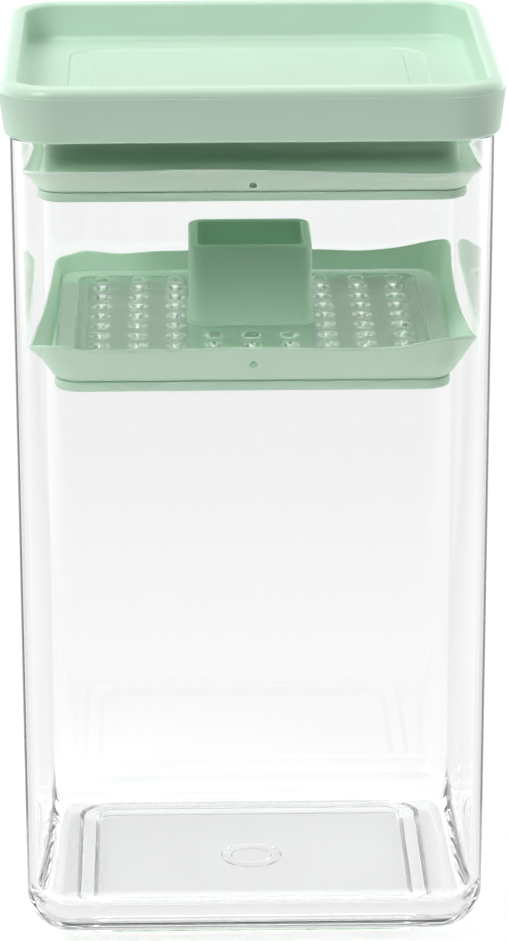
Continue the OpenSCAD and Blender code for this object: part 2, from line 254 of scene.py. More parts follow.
def profile(points, steps=6, hold=0.25 * MM):
    """A profile's points (reach, height) from its corners (reach, height, rounding).

    A rounded corner becomes an arc about the point at rounding / sin(half angle) on its bisector, with
    one more point on each flat beside it, so that the flats shade flat.
    """
    p = np.array(points, float)
    rows = [p[:1, :2]]
    for before, at, after in zip(p[:-2], p[1:-1], p[2:]):
        corner, radius = at[:2], at[2]
        arms = [(q[:2] - corner) for q in (before, after)]
        reach = [np.linalg.norm(a) for a in arms]
        arms = [a / r for a, r in zip(arms, reach)]
        if radius == 0:
            rows.append(corner[None])
            continue
        half = math.acos(np.clip(arms[0] @ arms[1], -1, 1)) / 2
        tangent = radius / math.tan(half)
        bisector = (arms[0] + arms[1]) / np.linalg.norm(arms[0] + arms[1])
        centre = corner + bisector * radius / math.sin(half)
        start, end = (corner + a * tangent - centre for a in arms)
        sweep = math.pi - 2 * half
        k = np.linspace(0, 1, steps + 1)[:, None]
        arc = centre + (start * np.sin((1 - k) * sweep) + end * np.sin(k * sweep)) / math.sin(sweep)
        holds = [corner + a * (tangent + min(hold, (r - tangent) / 4)) for a, r in zip(arms, reach)]
        rows += [holds[0][None], arc, holds[1][None]]
    rows.append(p[-1:, :2])
    return np.concatenate(rows)


def lift(xy, height):
    """Rows of points in the plane, each row at its own height."""
    height = np.broadcast_to(np.asarray(height)[:, None, None], (*xy.shape[:2], 1))
    return np.concatenate([xy, height], -1)


def carry(table, half, corner_r, outline):
    """A profile carried round a rounded rectangle.

    A profile's point lies at axis * place + reach * direction, where axis is the half size less the
    corner's radius, so reach is the distance out from the corners' own axes.
    """
    place, out = table
    axis = np.asarray(half) - corner_r
    return lift(axis * place + outline[:, :1, None] * out, outline[:, 1])


def disc(table, radii, heights):
    """Circles about the Z axis, one for each radius, that meet a plan's table direction by direction."""
    place, out = table
    way = place + out
    way = way / np.linalg.norm(way, axis=1, keepdims=True)
    return lift(np.asarray(radii)[:, None, None] * way, heights)


def loops(rows, columns, ring=False):
    """Quads between the rows of a grid whose columns close on themselves, and its rows too in a ring."""
    i = np.arange(rows if ring else rows - 1)[:, None]
    j = np.arange(columns)[None]
    i2, j2 = (i + 1) % rows, (j + 1) % columns
    corners = (i * columns + j, i * columns + j2, i2 * columns + j2, i2 * columns + j)
    return np.stack(np.broadcast_arrays(*corners), -1).reshape(-1, 4)


def capped(*parts):
    """A closed shell from rows of points: the first and last row are closed at their middles."""
    rows = np.concatenate(parts)
    count, columns = rows.shape[:2]
    j = np.arange(columns)
    j2 = (j + 1) % columns
    low, high = np.full_like(j, count * columns), np.full_like(j, count * columns + 1)
    last = (count - 1) * columns
    caps = np.concatenate([np.stack([low, j2, j], -1), np.stack([high, last + j, last + j2], -1)])
    middles = rows[[0, -1]].mean(1)
    return np.concatenate([rows.reshape(-1, 3), middles]), loops(count, columns).tolist() + caps.tolist()


def looped(rows):
    """A closed ring from rows of points round its section."""
    return rows.reshape(-1, 3), loops(*rows.shape[:2], ring=True).tolist()


def open_rows(rows):
    """An open band from rows of points."""
    return rows.reshape(-1, 3), loops(*rows.shape[:2]).tolist()


def welded(*parts):
    """Surfaces joined into one, with the points that they share merged."""
    points = np.concatenate([p for p, _ in parts])
    starts = np.cumsum([0] + [len(p) for p, _ in parts])
    places = np.round(points / WELD)
    _, first, merged = np.unique(places, axis=0, return_index=True, return_inverse=True)
    merged = merged.reshape(-1)
    faces = [merged[start + np.array(part)].tolist() for start, (_, part) in zip(starts, parts)]
    return points[first], sum(faces, [])


def half_size(box):
    """Half width and half depth of a node's box, which is centred on the Z axis."""
    return np.array(box[1][:2])


# Meshes

SHARP = math.radians(50)


def add_piece(name, surface, slot, body, node, finish=None):
    """A mesh object of a surface that stands for a CAD node and rides on its body.

    It takes the given finish, or else the plain one of its slot that comes with the frame.
    """
    mesh = bpy.data.meshes.new(name)
    mesh.from_pydata(surface[0].tolist(), [], surface[1])
    mesh.validate()
    mesh.shade_smooth()
    mesh.set_sharp_from_angle(angle=SHARP)
    piece = bpy.data.objects.new(name, mesh)
    bpy.context.scene.collection.objects.link(piece)
    mesh.materials.append(finish or bpy.data.materials[slot])
    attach(piece, body)
    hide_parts(node)
    return piece


def bore(piece, y, z, diameter, sides=40, reach=6 * MM):
    """Cuts a round hole along Y through a piece, centred on x = 0 and reaching that far each way."""
    turn = np.linspace(0, 2 * math.pi, sides, endpoint=False)
    ring = np.stack([np.cos(turn) * diameter / 2, np.zeros(sides), z - np.sin(turn) * diameter / 2], -1)
    rows = np.stack([ring + [0, depth, 0] for depth in (y - reach, y + reach)])
    points, faces = capped(rows)
    mesh = bpy.data.meshes.new("drill")
    mesh.from_pydata(points.tolist(), [], faces)
    drill = bpy.data.objects.new("drill", mesh)
    bpy.context.scene.collection.objects.link(drill)
    cut = piece.modifiers.new("vent", "BOOLEAN")
    cut.operation, cut.solver, cut.object = "DIFFERENCE", "EXACT", drill
    bpy.context.view_layer.update()
    shape = piece.evaluated_get(bpy.context.evaluated_depsgraph_get())
    piece.data = bpy.data.meshes.new_from_object(shape)
    piece.modifiers.clear()
    piece.data.set_sharp_from_angle(angle=SHARP)
    bpy.data.objects.remove(drill)


# Finishes

class Value:
    """A socket of a shader; arithmetic on it adds Math nodes."""

    def __init__(self, shader, socket):
        self.shader, self.socket = shader, socket

    def math(self, operation, *values):
        return self.shader.add("ShaderNodeMath", {"operation": operation}, *values)

    def __add__(self, other):
        return self.math("ADD", self, other)

    def __sub__(self, other):
        return self.math("SUBTRACT", self, other)

    def __rsub__(self, other):
        return self.math("SUBTRACT", other, self)

    def __mul__(self, other):
        return self.math("MULTIPLY", self, other)

    __radd__ = __add__
    __rmul__ = __mul__


class Shader:
    """The node tree of a material or a world, emptied, with one method that adds any node."""

    def __init__(self, owner):
        owner.use_nodes = True
        self.tree = owner.node_tree
        self.tree.nodes.clear()

    def add(self, kind, settings=None, *values, out=0, **named):
        """Adds a node, sets it up, and sets or links its sockets in order and by name."""
        node = self.tree.nodes.new(kind)
        for key, value in (settings or {}).items():
            setattr(node, key, value)
        for key, value in [*enumerate(values), *((k.replace("_", " "), v) for k, v in named.items())]:
            if isinstance(value, Value):
                self.tree.links.new(value.socket, node.inputs[key])
            elif value is not None:
                node.inputs[key].default_value = value
        return Value(self, node.outputs[out]) if node.outputs else node

    def noise(self, size, detail=2.0, roughness=0.5):
        """Noise from 0 to 1 on the piece's own coordinates, with features of about that size."""
        where = self.add("ShaderNodeTexCoord", out="Object")
        return self.add("ShaderNodeTexNoise", None, Vector=where, Scale=1 / size, Detail=detail,
                        Roughness=roughness)

    def ramp(self, value, start, end, low, high):
        """A smooth step from low to high, where a value goes from start to end."""
        smooth = {"interpolation_type": "SMOOTHSTEP"}
        return self.add("ShaderNodeMapRange", smooth, value, start, end, low, high)

    def mix(self, factor, first, second):
        """A colour between two others."""
        return self.add("ShaderNodeMix", {"data_type": "RGBA"}, factor, None, None, None, None, None,
                        (*first, 1), (*second, 1), out=2)

    def bump(self, height, strength, depth):
        """A bump of that depth whose height runs from 0 to 1."""
        return self.add("ShaderNodeBump", None, Strength=strength, Distance=depth, Height=height)

    def output(self, surface, kind="ShaderNodeOutputMaterial"):
        self.add(kind, None, surface)


def shades(colour, spread):
    """A slightly deeper and a slightly paler shade of a colour."""
    return [c * (1 - spread) for c in colour], [min(1, c * (1 + spread)) for c in colour]


def moulded(name, colour, roughness=0.32, grain=0.12, drift_size=30 * MM, grain_size=0.35 * MM):
    """Satin moulded plastic: a fine grain from the mould, and a faint drift of colour and gloss."""
    material = bpy.data.materials.new(name)
    s = Shader(material)
    drift = s.noise(drift_size, detail=3)
    fine = s.noise(grain_size, detail=3, roughness=0.6)
    s.output(s.add(
        "ShaderNodeBsdfPrincipled", None,
        Base_Color=s.mix(drift, *shades(colour, 0.03)),
        Roughness=roughness - 0.05 + 0.07 * drift + 0.05 * fine,
        Normal=s.bump(fine, grain, depth=0.03 * MM),
        IOR=1.49))
    return material


def silicone(name, colour, roughness=0.5, grain=0.15, drift_size=22 * MM, grain_size=0.5 * MM):
    """Soft matt silicone: light goes a little way into it, and its grain is very fine."""
    material = bpy.data.materials.new(name)
    s = Shader(material)
    drift = s.noise(drift_size, detail=2)
    fine = s.noise(grain_size, detail=3)
    s.output(s.add(
        "ShaderNodeBsdfPrincipled", None,
        Base_Color=s.mix(drift, *shades(colour, 0.025)),
        Roughness=roughness + 0.08 * drift,
        Normal=s.bump(fine, grain, depth=0.04 * MM),
        Subsurface_Weight=0.8,
        Subsurface_Radius=(1, 1, 1),
        Subsurface_Scale=2 * MM,
        IOR=1.42))
    return material


def clear_plastic(name, colour, roughness, size, strength, depth, frost=None):
    """Clear plastic with the slight waviness or grain that the mould leaves in its skin.

    The waviness has features of that size, and moves the gloss a little too. Below the height of the
    frost, if there is one, the skin is rough.
    """
    material = bpy.data.materials.new(name)
    s = Shader(material)
    wave = s.noise(size, detail=1)
    skin = roughness * (0.6 + 0.8 * wave)
    if frost is not None:
        where = s.add("ShaderNodeTexCoord", out="Object")
        z = s.add("ShaderNodeSeparateXYZ", None, where, out="Z")
        skin = skin + 0.5 * z.math("LESS_THAN", z, frost)
    s.output(s.add(
        "ShaderNodeBsdfPrincipled", None,
        Base_Color=(*colour, 1),
        Roughness=skin,
        Normal=s.bump(wave, strength, depth),
        Transmission_Weight=1.0,
        IOR=1.54))
    return material


# Operators

class JarOperator:
    """What the operators share."""
    bl_options = {"REGISTER", "UNDO"}

    def execute(self, context):
        self.build(context.scene.jar_scene)
        return {"FINISHED"}


class JAR_OT_stage(JarOperator, bpy.types.Operator):
    """Adds the camera, the floor and the soft studio light"""
    bl_idname = "jar.stage"
    bl_label = "Stage"

    CLEAR_BOUNCES, MATT_BOUNCES = 32, 8
    WHITE = 1.03  # strength that shows as white
    FLOOR_SIDE, FLOOR_FRONT, FLOOR_BACK, FLOOR_DROP = 0.5, -0.27, 0.9, 0.05 * MM
    # Smooth steps: where each starts and ends, then its values there
    FADE = (0.05, 0.14, 0.0, 1.0)  # by distance: from the lit floor to white
    MIRRORED = (-0.06, -0.3, 0.9, 0.1)  # by y: what glossy pieces show of the floor
    CARD_EDGES = (-0.08, -0.12)  # by y: from the table's light to the card's
    BEHIND = (0.0, 0.5, 0.0, 1.0)  # by y: from the front half of the room to its back
    WALL_FOOT = (0.12, 0.18, 1.5, 0.25)  # by z: the bright foot of the back wall
    WALL_TOP = (0.38, 0.46, 0.0, 0.55)  # by z: the back wall's pale top
    DOME_EDGES = (0.35, 0.65)  # by z: from none of the ambient light to all of it
    FRONT = (-0.92, -0.7, 0.1, 0.8)  # by y: darker round the camera
    LAMPS = (
        ("top_softbox", "key", (-0.05, -0.25, 1.1), (0.4, 0.3)),
        ("front_softbox", "fill", (-0.9, -1.1, 1.45), (0.8, 0.8)),
        ("rim_softbox", "rim", (-0.05, 0.32, 1.0), (0.5, 0.14)),
        ("left_softbox", "left", (-0.95, 0.6, 0.42), (1.6, 0.85)),
        ("right_softbox", "right", (0.95, 0.6, 0.42), (1.6, 0.85)))

    def build(self, settings):
        scene = bpy.context.scene
        scene.view_settings.view_transform = "Standard"
        cycles = scene.cycles
        cycles.max_bounces = cycles.transmission_bounces = cycles.glossy_bounces = self.CLEAR_BOUNCES
        cycles.diffuse_bounces = self.MATT_BOUNCES
        cycles.blur_glossy = 0
        self.camera(scene, settings.studio)
        self.floor(scene, settings.finish, settings.studio)
        self.room(scene, settings.studio)
        self.lamps(scene, settings.studio)

    def camera(self, scene, studio):
        """Looks at the aim from the azimuth and elevation; a roll turns right and up about the view."""
        e, a, r = studio.elevation, studio.azimuth, studio.roll
        back = np.array([math.sin(a) * math.cos(e), -math.cos(a) * math.cos(e), math.sin(e)])
        right = np.array([math.cos(a), math.sin(a), 0])
        up = np.cross(back, right)
        right, up = math.cos(r) * right + math.sin(r) * up, math.cos(r) * up - math.sin(r) * right
        place = np.array([studio.aim_x, 0, studio.aim_z]) + studio.distance * back
        lens = bpy.data.cameras.new("camera")
        lens.lens = lens.sensor_width * studio.focal / studio.tall
        camera = bpy.data.objects.new("camera", lens)
        camera.matrix_world = Matrix([
            [right[i], up[i], back[i], place[i]] for i in range(3)] + [[0, 0, 0, 1]])
        scene.collection.objects.link(camera)
        scene.camera = camera

    def rays(self, s):
        """How often a ray has left a matt surface and a glossy one, up to once each."""
        path = s.tree.nodes.new("ShaderNodeLightPath")
        depths = (Value(s, path.outputs[name]) for name in ("Diffuse Depth", "Glossy Depth"))
        return [depth.math("MINIMUM", depth, 1.0) for depth in depths]

    def floor(self, scene, finish, studio):
        """A pale floor that takes shadows and glows, fades to white further out, and mirrors as grey."""
        side, front, back = self.FLOOR_SIDE, self.FLOOR_FRONT, self.FLOOR_BACK
        outline = ((-side, front), (side, front), (side, back), (-side, back))
        mesh = bpy.data.meshes.new("floor")
        mesh.from_pydata([(x, y, -self.FLOOR_DROP) for x, y in outline], [], [(0, 1, 2, 3)])
        floor = bpy.data.objects.new("floor", mesh)
        scene.collection.objects.link(floor)
        material = bpy.data.materials.new("pale_floor")
        s = Shader(material)
        where = s.add("ShaderNodeTexCoord", out="Object")
        y = s.add("ShaderNodeSeparateXYZ", None, where, out="Y")
        away = s.add("ShaderNodeVectorMath", {"operation": "LENGTH"}, where, out="Value")
        fade = s.ramp(away, *self.FADE)
        grey = s.ramp(y, *self.MIRRORED)
        card = s.ramp(y, *self.CARD_EDGES, studio.table, studio.card)
        lit = s.add("ShaderNodeBsdfDiffuse", None, Color=(*finish.floor, 1))
        glow = s.add("ShaderNodeEmission", None, Color=card)
        near = s.add("ShaderNodeAddShader", None, lit, glow)
        matt, gloss = self.rays(s)
        white = s.add("ShaderNodeEmission", None, Color=(1, 1, 1, 1), Strength=self.WHITE)
        mirrored = s.add("ShaderNodeEmission", None, Color=grey)
        seen = s.add("ShaderNodeMixShader", None, fade * (1 - matt), near, white)
        s.output(s.add("ShaderNodeMixShader", None, gloss * (1 - matt), seen, mirrored))
        mesh.materials.append(material)

    def room(self, scene, studio):
        """The world: a back wall, a dome and a dim front. Rays straight from the camera see white."""
        scene.world = bpy.data.worlds.new("studio")
        s = Shader(scene.world)
        where = s.add("ShaderNodeTexCoord", out="Generated")
        y, z = (s.add("ShaderNodeSeparateXYZ", None, where, out=axis) for axis in "YZ")
        behind = s.ramp(y, *self.BEHIND)
        wall = behind * (s.ramp(z, *self.WALL_FOOT) + s.ramp(z, *self.WALL_TOP))
        dome = s.ramp(z, *self.DOME_EDGES, 0.0, studio.ambient)
        front = (1 - behind) * s.ramp(y, *self.FRONT)
        matt, gloss = self.rays(s)
        room = wall + dome + front * (1 - matt)
        seen = room + (1 - matt) * (1 - gloss) * (self.WHITE - room)
        s.output(s.add("ShaderNodeBackground", None, Color=seen), "ShaderNodeOutputWorld")

    def lamps(self, scene, studio):
        """Softboxes that face the middle of the jar."""
        aim = Vector((0, 0, JAR[1].z / 2))
        for name, setting, place, size in self.LAMPS:
            lamp = bpy.data.lights.new(name, "AREA")
            lamp.shape = "RECTANGLE"
            lamp.size, lamp.size_y = size
            lamp.energy = getattr(studio, setting)
            box = bpy.data.objects.new(name, lamp)
            box.location = place
            box.rotation_euler = (aim - box.location).to_track_quat("-Z", "Y").to_euler()
            scene.collection.objects.link(box)


class JAR_OT_container(JarOperator, bpy.types.Operator):
    """Adds the clear jar with its ring foot and gate mark"""
    bl_idname = "jar.container"
    bl_label = "Clear jar"

    FLAT = 1 * MM  # flat kept beside the foot and the gate mark
    STEP = 0.12 * MM  # half width of the slopes beside the gate mark's ring
    SHELL_STEPS = 12
    SKIN = {"roughness": 0.01, "size": 35 * MM, "strength": 0.05, "depth": 0.05 * MM}

    def build(self, settings):
        jar, half, top = settings.jar, half_size(JAR), JAR[1].z
        floor_z = jar.foot_h + jar.floor
        low_r = jar.corner_r - jar.lean
        inner_r = jar.corner_r - jar.wall
        foot_half = half - jar.foot_inset
        foot_in = jar.foot_corner_r - jar.foot_rib
        gate_z, slope_z = jar.foot_h - jar.gate_h, jar.foot_h - jar.gate_h / 2
        step = self.STEP
        gate = disc(SMOOTH_PLAN, *zip(
            (jar.gate_well_r / 2, jar.foot_h),
            (jar.gate_well_r - step, jar.foot_h),
            (jar.gate_well_r, slope_z),
            (jar.gate_well_r + step, gate_z),
            (jar.gate_r - step, gate_z),
            (jar.gate_r, slope_z),
            (jar.gate_r + step, jar.foot_h),
            (jar.gate_r + self.FLAT, jar.foot_h)))
        foot = carry(SMOOTH_PLAN, foot_half, jar.foot_corner_r, profile([
            (foot_in - 2 * self.FLAT, jar.foot_h, 0),
            (foot_in, jar.foot_h, jar.foot_fillet),
            (foot_in, 0, jar.foot_edge_r),
            (jar.foot_corner_r, 0, jar.foot_edge_r),
            (jar.foot_corner_r, jar.foot_h, jar.foot_fillet),
            (jar.foot_corner_r + self.FLAT, jar.foot_h, 0)]))
        shell = carry(SMOOTH_PLAN, half, jar.corner_r, profile([
            (CORE, jar.foot_h, 0),
            (low_r, jar.foot_h, jar.bottom_r),
            (jar.corner_r, top, jar.rim_r),
            (inner_r, top, jar.rim_r),
            (inner_r - jar.lean, floor_z, jar.inner_r),
            (CORE, floor_z, 0)], self.SHELL_STEPS))
        clear = clear_plastic("clear_jar", settings.finish.clear, **self.SKIN)
        add_piece("clear_jar", capped(gate, foot, shell), "clear_jar", "jar", "container", clear)


class JAR_OT_lid(JarOperator, bpy.types.Operator):
    """Adds the tray lid with its rim, stacking groove and neck"""
    bl_idname = "jar.lid"
    bl_label = "Tray lid"

    # Roundings, and flats kept beside them
    RIM_OUTSIDE, RIM_INSIDE, TRAY_FILLET, SKIRT_EDGE = 2.4 * MM, 1.2 * MM, 1.5 * MM, 1.4 * MM
    LEDGE_EDGE, NECK_EDGE, NECK_FILLET, GROOVE_EDGE = 0.2 * MM, 0.3 * MM, 0.5 * MM, 0.18 * MM
    LEDGE_FLAT, TRAY_FLAT, NECK_FLAT, GROOVE_FLAT = 0.5 * MM, 3 * MM, 0.8 * MM, 1 * MM
    GROOVE_SLOPE = 0.5 * MM
    RIM_STEPS, RIM_HOLD = 10, 0.06 * MM

    def build(self, settings):
        lid, seat = settings.lid, settings.press.seat
        half, top, neck_z = half_size(LID), LID[1].z, LID[0].z
        rest_z = JAR[1].z + seat
        tray_z = top - lid.tray_depth
        under_z = tray_z - lid.tray_floor
        widest_z = top - lid.widest
        overhang = half[0] - JAR[1].x
        ledge_r = lid.corner_r - overhang - settings.jar.wall - lid.ledge_lap
        tray_r = lid.corner_r - lid.rim_w
        neck_half = half_size(LID_BASE) - lid.neck_inset
        neck_in = lid.neck_r - lid.neck_wall
        step = lid.parting
        neck = carry(SMOOTH_PLAN, neck_half, lid.neck_r, profile([
            (CORE, under_z, 0),
            (neck_in, under_z, self.NECK_FILLET),
            (neck_in, neck_z, self.NECK_EDGE),
            (lid.neck_r, neck_z, self.NECK_EDGE),
            (lid.neck_r, under_z, self.NECK_FILLET),
            (lid.neck_r + self.NECK_FLAT, under_z, 0)]))
        rim = carry(SMOOTH_PLAN, half, lid.corner_r, profile([
            (ledge_r - self.LEDGE_FLAT, under_z, 0),
            (ledge_r, under_z, self.LEDGE_EDGE),
            (ledge_r, rest_z, self.LEDGE_EDGE),
            (lid.corner_r - lid.taper, rest_z, self.SKIRT_EDGE),
            (lid.corner_r, widest_z - step, 0),
            (lid.corner_r + step, widest_z, 0),
            (lid.corner_r - step / 2, widest_z + step, 0),
            (lid.corner_r - lid.lean, top, self.RIM_OUTSIDE),
            (tray_r, top, self.RIM_INSIDE),
            (tray_r - lid.lean, tray_z, self.TRAY_FILLET),
            (tray_r - self.TRAY_FLAT, tray_z, 0)], self.RIM_STEPS, self.RIM_HOLD))
        groove_in, groove_z = lid.groove_r - lid.groove_w, tray_z - lid.groove
        groove = carry(SMOOTH_PLAN, np.array(lid.groove_half), lid.groove_r, profile([
            (lid.groove_r + self.GROOVE_FLAT, tray_z, 0),
            (lid.groove_r, tray_z, self.GROOVE_EDGE),
            (lid.groove_r - self.GROOVE_SLOPE, groove_z, self.GROOVE_EDGE),
            (groove_in + self.GROOVE_SLOPE, groove_z, self.GROOVE_EDGE),
            (groove_in, tray_z, self.GROOVE_EDGE),
            (CORE, tray_z, 0)]))
        green = moulded("green_plastic", settings.finish.green)
        add_piece("tray_lid", capped(neck, rim, groove), "green_plastic", "lid", "lid_shell", green)


class JAR_OT_lid_base(JarOperator, bpy.types.Operator):
    """Adds the plate that closes the lid's neck, with its snap wall"""
    bl_idname = "jar.lid_base"
    bl_label = "Lid base plate"

    FLAT = 1 * MM  # flat kept between the plate's edge and the snap wall
    LOWER_EDGE, UPPER_EDGE = 0.7 * MM, 0.35 * MM
    SNAP_EDGE, SNAP_OUTSIDE, SNAP_INSIDE = 0.4 * MM, 0.2 * MM, 0.3 * MM

    def build(self, settings):
        lid, fit = settings.lid, settings.press.fit
        half, low, high = half_size(LID_BASE), LID_BASE[0].z, LID_BASE[1].z
        top = low + lid.base_t
        snap_half = half - lid.neck_inset - lid.neck_wall - fit
        snap_r = lid.neck_r - lid.neck_wall - fit
        disk = carry(SMOOTH_PLAN, half, lid.neck_r, profile([
            (CORE, low, 0),
            (lid.neck_r, low, self.LOWER_EDGE),
            (lid.neck_r, top, self.UPPER_EDGE),
            (lid.neck_r - self.FLAT, top, 0)]))
        snap = carry(SMOOTH_PLAN, snap_half, snap_r, profile([
            (snap_r + self.FLAT, top, 0),
            (snap_r, top, self.SNAP_OUTSIDE),
            (snap_r, high, self.SNAP_EDGE),
            (snap_r - lid.snap_wall, high, self.SNAP_EDGE),
            (snap_r - lid.snap_wall, top, self.SNAP_INSIDE),
            (CORE, top, 0)]))
        add_piece("lid_base_plate", capped(disk, snap), "green_plastic", "lid", "lid_base")


BEAD_EDGE = 0.8 * MM  # rounding along the lower edge of a seal's bead
WAVE_BLUR = 0.025  # stretch, in sides, over which a lip's wave is smoothed each way


def seal_surface(low, rise, bead, inside, root, lip, thick, flares, draws, wave):
    """A flexible seal: a section of bead and flared lip, carried round a rounded rectangle.

    Inside, root and lip are plans, each a half size and a corner radius. The plan at share s of the
    lip's height lies between the root's and the lip's, and depth is the distance in from its outer skin.
    A corner's flare is how far it goes to the lip's plan; between corners the lip draws in by 1 - place
    squared. The wave lifts the lip's edge: pairs of a place round the seal, in sides from the left front
    corner, and a height in millimetres, smoothed over a small stretch.
    """
    place, out = WAVY_PLAN
    side, along = WAVY_TURN.astype(int), np.clip((WAVY_TURN % 1 * 2 - 1) / (1 - CORNER_SHARE), -1, 1)
    foot = bead / rise
    root_t, edge_t = thick
    turn = np.linspace(0, math.pi / 2, 5)
    skin = np.linspace(BEAD_EDGE / rise, 1, 18)
    tip = np.linspace(0, math.pi, 9)[1:-1]
    back = np.linspace(1, foot, 16)
    s = np.concatenate([0 * turn, skin, 1 + 0 * tip, back])
    depth = np.concatenate([BEAD_EDGE * (1 - np.sin(turn)), 0 * skin, edge_t / 2 * (1 - np.cos(tip)),
                            root_t + (edge_t - root_t) * back])
    height = np.concatenate([BEAD_EDGE * (1 - np.cos(turn)), rise * skin,
                             rise + edge_t / 2 * np.sin(tip), rise * back])
    corners = np.array([(-1, -1), (1, -1), (1, 1), (-1, 1)])
    flare = np.asarray(flares) @ (np.prod(1 + corners[:, None] * place, -1) / 4)
    pull = np.asarray(draws)[side] * MM * (1 - along ** 2)
    keys, lifts = np.array(wave).T
    blur = np.linspace(-WAVE_BLUR, WAVE_BLUR, 9)
    edge = MM * np.mean([np.interp(WAVY_TURN + d, keys, lifts, period=4) for d in blur], 0)
    go = s[:, None] * flare
    (root_half, root_r), (lip_half, lip_r) = root, lip
    axis = (root_half - root_r) + go[..., None] * (lip_half - lip_r - root_half + root_r)
    reach = root_r + go * (lip_r - root_r) - depth[:, None] - s[:, None] ** 2 * pull
    up = np.clip((s - foot) / (1 - foot), 0, 1)
    up = up * up * (3 - 2 * up)
    z = low + height[:, None] + up[:, None] * edge
    skirt = np.concatenate([axis * place + reach[..., None] * out, z[..., None]], -1)
    inner = carry(WAVY_PLAN, *inside, np.array([(inside[1], low), (inside[1], low + bead)]))
    return looped(np.concatenate([inner[:1], skirt, inner[1:]]))


class JAR_OT_lid_seal(JarOperator, bpy.types.Operator):
    """Adds the flexible seal round the lid's neck"""
    bl_idname = "jar.lid_seal"
    bl_label = "Lid seal"

    VENT_SHARE = 0.3  # height of the vent as a share of the lip's
    FLARES, DRAWS = (1, 1, 1, 1), (0.3, 0.3, 0.3, 0.3)
    WAVE = ((0.0, -0.9), (0.05, -0.6), (0.1, -0.55), (0.17, -0.67), (0.25, -0.57), (0.37, -0.32),
            (0.46, -0.4), (0.6, -0.79), (0.76, -1.28), (0.87, -1.62), (0.9, -1.5), (0.95, -1.1),
            (1.0, -0.95), (1.1, -1.5), (1.5, -1.3), (1.9, -1.2), (2.0, -0.8), (2.2, -1.0), (2.5, -0.6),
            (2.8, -1.0), (3.0, -0.8), (3.1, -1.2), (3.5, -1.3), (3.9, -1.7))

    def build(self, settings):
        lid, press = settings.lid, settings.press
        root_half, low = half_size(LID_BASE), LID_SEAL[0].z
        inside = root_half - lid.neck_inset + press.fit, lid.neck_r + press.fit
        surface = seal_surface(
            low, lid.lip_h, lid.bead, inside, (root_half, lid.neck_r), (half_size(LID_SEAL), lid.lip_r),
            (press.lip_root, press.lip_edge), self.FLARES, self.DRAWS, self.WAVE)
        soft = silicone("green_silicone", settings.finish.silicone)
        piece = add_piece("lid_ring_seal", surface, "green_silicone", "lid", "lid_seal", soft)
        bore(piece, -root_half[1], low + lid.lip_h * self.VENT_SHARE, press.vent_d)


class JAR_OT_press_seal(JarOperator, bpy.types.Operator):
    """Adds the press's flexible seal with its wavy, eared lip"""
    bl_idname = "jar.press_seal"
    bl_label = "Press seal"

    VENT_SHARE = 0.5  # height of the vent as a share of the lip's
    VENT_OUT = 2 * MM  # how far outside the bead's plan the lip is there
    FLARES, DRAWS = (1, 1, 0.95, 0.4), (0.4, 0.9, 0.4, 0.2)
    WAVE = ((0.0, 0.0), (0.05, 0.3), (0.1, 0.5), (0.126, -0.65), (0.33, -0.55), (0.5, -0.25),
            (0.62, -0.6), (0.71, -0.75), (0.82, -0.35), (0.87, 0.75), (0.9, 1.4), (0.95, 1.6),
            (1.0, 1.3), (1.05, 0.6), (1.1, -0.2), (1.3, -0.4), (1.6, -0.3), (1.8, 0.2), (1.9, 2.2),
            (1.95, 2.9), (2.0, 2.6), (2.05, 1.8), (2.1, 1.1), (2.14, 0.2), (2.23, -0.5), (2.33, 0.1),
            (2.5, 0.3), (2.72, 0.3), (2.81, -0.3), (2.89, 0.8), (2.94, -0.1), (3.0, -0.3), (3.1, -0.4),
            (3.5, -0.4), (3.8, -0.5), (3.9, -1.5), (3.95, -0.8))

    def build(self, settings):
        press = settings.press
        root_half, low = half_size(PLATE), SEAL[0].z
        inside = root_half - press.wall_inset + press.fit, press.wall_r + press.fit
        surface = seal_surface(
            low, press.lip_h, press.bead, inside, (root_half, press.corner_r),
            (half_size(SEAL), press.lip_r), (press.lip_root, press.lip_edge),
            self.FLARES, self.DRAWS, self.WAVE)
        piece = add_piece("press_ring_seal", surface, "green_silicone", "press", "press_seal")
        bore(piece, -root_half[1] - self.VENT_OUT, low + press.lip_h * self.VENT_SHARE, press.vent_d)


# Perforated plates

HOLES = (9, 8)  # holes across and deep
BLOCK = (3, 4)  # cells across and deep that are left out in the middle, for the grip
CELL_STEPS = 8
RIM_FLAT = 1.5 * MM  # flat kept inside a plate's edge


def cell_edges(count, pitch, margin):
    """Edges of a row of cells with a hole in each: halfway between holes, and a margin past the last."""
    middles = (np.arange(count) - (count - 1) / 2) * pitch
    between = middles[:-1] + pitch / 2
    return middles, np.concatenate([[middles[0] - margin], between, [middles[-1] + margin]])


def cut_up(edges):
    """The edges' cells cut into CELL_STEPS steps each, without the last point."""
    k = np.arange(CELL_STEPS) / CELL_STEPS
    return (edges[:-1, None] + np.diff(edges)[:, None] * k).ravel()


def rectangle(xs, ys):
    """A rectangle's outline, anticlockwise from its lower left corner, through the given cut-up edges."""
    w, d = -xs[0], -ys[0]
    sides = [np.stack([xs, 0 * xs - d], -1), np.stack([0 * ys + w, ys], -1),
             np.stack([-xs, 0 * xs + d], -1), np.stack([0 * ys - w, -ys], -1)]
    return np.concatenate(sides)


